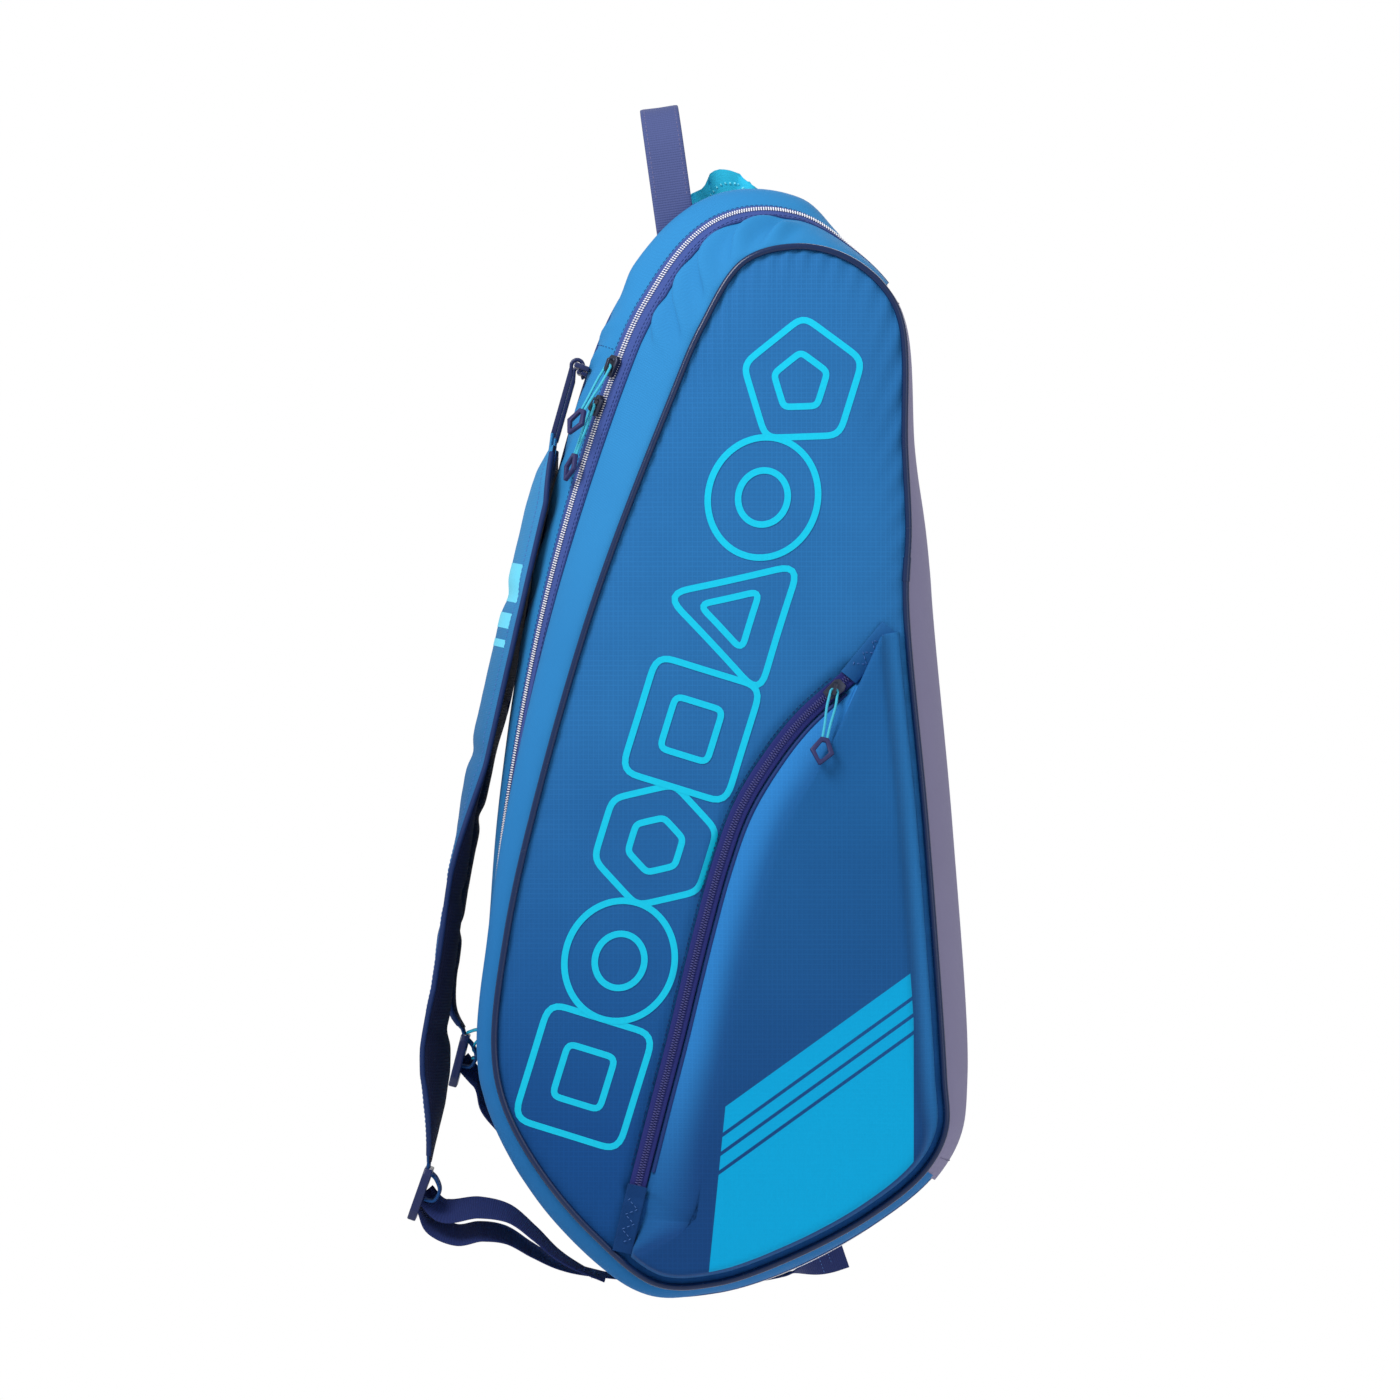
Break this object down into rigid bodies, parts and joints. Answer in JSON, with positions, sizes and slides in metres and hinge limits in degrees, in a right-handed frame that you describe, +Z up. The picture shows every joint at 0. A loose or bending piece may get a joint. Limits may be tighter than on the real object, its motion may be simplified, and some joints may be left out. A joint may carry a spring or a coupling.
{
  "type": "racket tournament bag",
  "caption": "Tall racket bag with two clamshell racket compartments, an open-topped gear compartment between them, moulded side pockets, backpack straps and a grab handle.",
  "frame": {"origin": "under the top of the grab handle's loop, where a hook or a hand holds the bag up", "axes": "+Z up, +X towards the spine panel, -Y towards the near compartment; the bag hangs upright from its grab handle"},
  "size_m": [0.3877, 0.2984, 0.8228],
  "materials": {
    "gusset_fabric": "fine oxford weave, matt with a slight sheen",
    "cyan_fabric": "light crumpled lining cloth",
    "divider_fabric": "padded board covered in blue cloth",
    "spine_fabric": "smooth grey-purple coated cloth",
    "pocket_fabric": "moulded foam under ripstop cloth",
    "face_fabric": "ripstop cloth over foam",
    "piping": "glossy dark cord piping",
    "zip_tape": "woven tape with a silvery coil",
    "pocket_zip": "dark tape and coil",
    "webbing": "dark woven webbing",
    "slider_metal": "dark gunmetal",
    "pull_cord": "braided cord",
    "pull_tab": "moulded soft plastic",
    "buckle_plastic": "moulded glossy plastic",
    "strap_fabric": "padded strap, cloth outside and mesh inside",
    "handle_webbing": "ribbed webbing"
  },
  "bodies": {
    "root": {"middle_band": "cyan_fabric", "near_mouth_lip": "cyan_fabric", "far_mouth_lip": "cyan_fabric", "near_divider": "divider_fabric", "far_divider": "divider_fabric", "spine_panel": "spine_fabric", "near_rear_gusset": "gusset_fabric", "far_rear_gusset": "gusset_fabric", "near_rear_zip_tape": "zip_tape", "far_rear_zip_tape": "zip_tape", "near_strap_anchor": "buckle_plastic", "far_strap_anchor": "buckle_plastic", "near_lower_webbing": "webbing", "far_lower_webbing": "webbing", "webbing_tail": "webbing", "near_handle_patch": "webbing", "far_handle_patch": "webbing", "gear_slider": "slider_metal"},
    "near_lid": {"near_face_panel": "face_fabric", "near_piping": "piping", "near_front_gusset": "gusset_fabric", "near_front_zip_tape": "zip_tape", "near_pocket_panel": "pocket_fabric", "near_pocket_zip": "pocket_zip", "near_pocket_garage_upper": "webbing", "near_pocket_garage_lower": "webbing"},
    "far_lid": {"far_face_panel": "face_fabric", "far_piping": "piping", "far_front_gusset": "gusset_fabric", "far_front_zip_tape": "zip_tape", "far_pocket_panel": "pocket_fabric", "far_pocket_zip": "pocket_zip", "far_pocket_garage_upper": "webbing", "far_pocket_garage_lower": "webbing"},
    "near_upper_slider": {"near_upper_slider": "slider_metal"},
    "near_upper_pull": {"near_upper_pull_cord": "pull_cord", "near_upper_pull_tab": "pull_tab"},
    "near_lower_slider": {"near_lower_slider": "slider_metal"},
    "near_lower_pull": {"near_lower_pull_cord": "pull_cord", "near_lower_pull_tab": "pull_tab"},
    "near_pocket_slider": {"near_pocket_slider": "slider_metal"},
    "near_pocket_pull": {"near_pocket_pull_cord": "pull_cord", "near_pocket_pull_tab": "pull_tab"},
    "near_strap": {"near_strap_hook": "buckle_plastic", "near_shoulder_strap": "strap_fabric"},
    "near_ladder_lock": {"near_ladder_lock": "buckle_plastic"},
    "far_upper_slider": {"far_upper_slider": "slider_metal"},
    "far_upper_pull": {"far_upper_pull_cord": "pull_cord", "far_upper_pull_tab": "pull_tab"},
    "far_lower_slider": {"far_lower_slider": "slider_metal"},
    "far_lower_pull": {"far_lower_pull_cord": "pull_cord", "far_lower_pull_tab": "pull_tab"},
    "far_pocket_slider": {"far_pocket_slider": "slider_metal"},
    "far_pocket_pull": {"far_pocket_pull_cord": "pull_cord", "far_pocket_pull_tab": "pull_tab"},
    "far_strap": {"far_strap_hook": "buckle_plastic", "far_shoulder_strap": "strap_fabric"},
    "far_ladder_lock": {"far_ladder_lock": "buckle_plastic"},
    "handle": {"grab_handle": "handle_webbing"}
  },
  "joints": [
    {"name": "near_lid_opening", "type": "hinge", "parent": "root", "child": "near_lid", "pos_m": [0.20332, -0.118, -0.69314], "axis": [-0.0565, 0, 0.9984], "range_deg": [0, 75]},
    {"name": "far_lid_opening", "type": "hinge", "parent": "root", "child": "far_lid", "pos_m": [0.20332, 0.118, -0.69314], "axis": [0.0565, 0, -0.9984], "range_deg": [0, 75]},
    {"name": "near_upper_zip_travel", "type": "hinge", "parent": "root", "child": "near_upper_slider", "pos_m": [0.19964, -0.08, -0.25099], "axis": [0, 1, 0], "range_deg": [0, 12.52]},
    {"name": "near_upper_pull_swing", "type": "hinge", "parent": "near_upper_slider", "child": "near_upper_pull", "pos_m": [-0.0356, -0.08409, -0.17233], "axis": [-0.6306, 0.7469, 0.2109], "range_deg": [0, 60]},
    {"name": "near_lower_zip_travel", "type": "hinge", "parent": "root", "child": "near_lower_slider", "pos_m": [1.53923, -0.08, -0.72583], "axis": [0, -1, 0], "range_deg": [0, 15.51]},
    {"name": "near_lower_pull_swing", "type": "hinge", "parent": "near_lower_slider", "child": "near_lower_pull", "pos_m": [-0.04646, -0.08246, -0.19959], "axis": [-0.3804, 0.9162, 0.1262], "range_deg": [0, 24]},
    {"name": "near_pocket_zip_travel", "type": "hinge", "parent": "near_lid", "child": "near_pocket_slider", "pos_m": [0.2712, -0.1208, -0.58084], "axis": [0, -1, 0], "range_deg": [0, 32.9]},
    {"name": "near_pocket_pull_swing", "type": "hinge", "parent": "near_pocket_slider", "child": "near_pocket_pull", "pos_m": [0.11949, -0.12695, -0.39681], "axis": [-0.9781, 0, 0.2079], "range_deg": [0, 80]},
    {"name": "near_strap_swing", "type": "hinge", "parent": "root", "child": "near_strap", "pos_m": [-0.05838, -0.044, -0.17082], "axis": [0, 1, 0], "range_deg": [0, 12]},
    {"name": "near_ladder_lock_tilt", "type": "hinge", "parent": "near_strap", "child": "near_ladder_lock", "pos_m": [-0.16235, -0.044, -0.73312], "axis": [0, 1, 0], "range_deg": [0, 20]},
    {"name": "far_upper_zip_travel", "type": "hinge", "parent": "root", "child": "far_upper_slider", "pos_m": [0.19964, 0.08, -0.25099], "axis": [0, 1, 0], "range_deg": [0, 12.52]},
    {"name": "far_upper_pull_swing", "type": "hinge", "parent": "far_upper_slider", "child": "far_upper_pull", "pos_m": [-0.0356, 0.08409, -0.17233], "axis": [0.6306, 0.7469, -0.2109], "range_deg": [0, 60]},
    {"name": "far_lower_zip_travel", "type": "hinge", "parent": "root", "child": "far_lower_slider", "pos_m": [1.53923, 0.08, -0.72583], "axis": [0, -1, 0], "range_deg": [0, 15.51]},
    {"name": "far_lower_pull_swing", "type": "hinge", "parent": "far_lower_slider", "child": "far_lower_pull", "pos_m": [-0.04646, 0.08246, -0.19959], "axis": [0.3804, 0.9162, -0.1262], "range_deg": [0, 24]},
    {"name": "far_pocket_zip_travel", "type": "hinge", "parent": "far_lid", "child": "far_pocket_slider", "pos_m": [0.2712, 0.1208, -0.58084], "axis": [0, -1, 0], "range_deg": [0, 32.9]},
    {"name": "far_pocket_pull_swing", "type": "hinge", "parent": "far_pocket_slider", "child": "far_pocket_pull", "pos_m": [0.11949, 0.12695, -0.39681], "axis": [0.9781, 0, -0.2079], "range_deg": [0, 80]},
    {"name": "far_strap_swing", "type": "hinge", "parent": "root", "child": "far_strap", "pos_m": [-0.05838, 0.044, -0.17082], "axis": [0, 1, 0], "range_deg": [0, 12]},
    {"name": "far_ladder_lock_tilt", "type": "hinge", "parent": "far_strap", "child": "far_ladder_lock", "pos_m": [-0.14015, 0.044, -0.64503], "axis": [0, 1, 0], "range_deg": [0, 20]},
    {"name": "handle_lean", "type": "hinge", "parent": "root", "child": "handle", "pos_m": [0.00919, 0, -0.06536], "axis": [0, 1, 0], "range_deg": [-14, 14]}
  ]
}
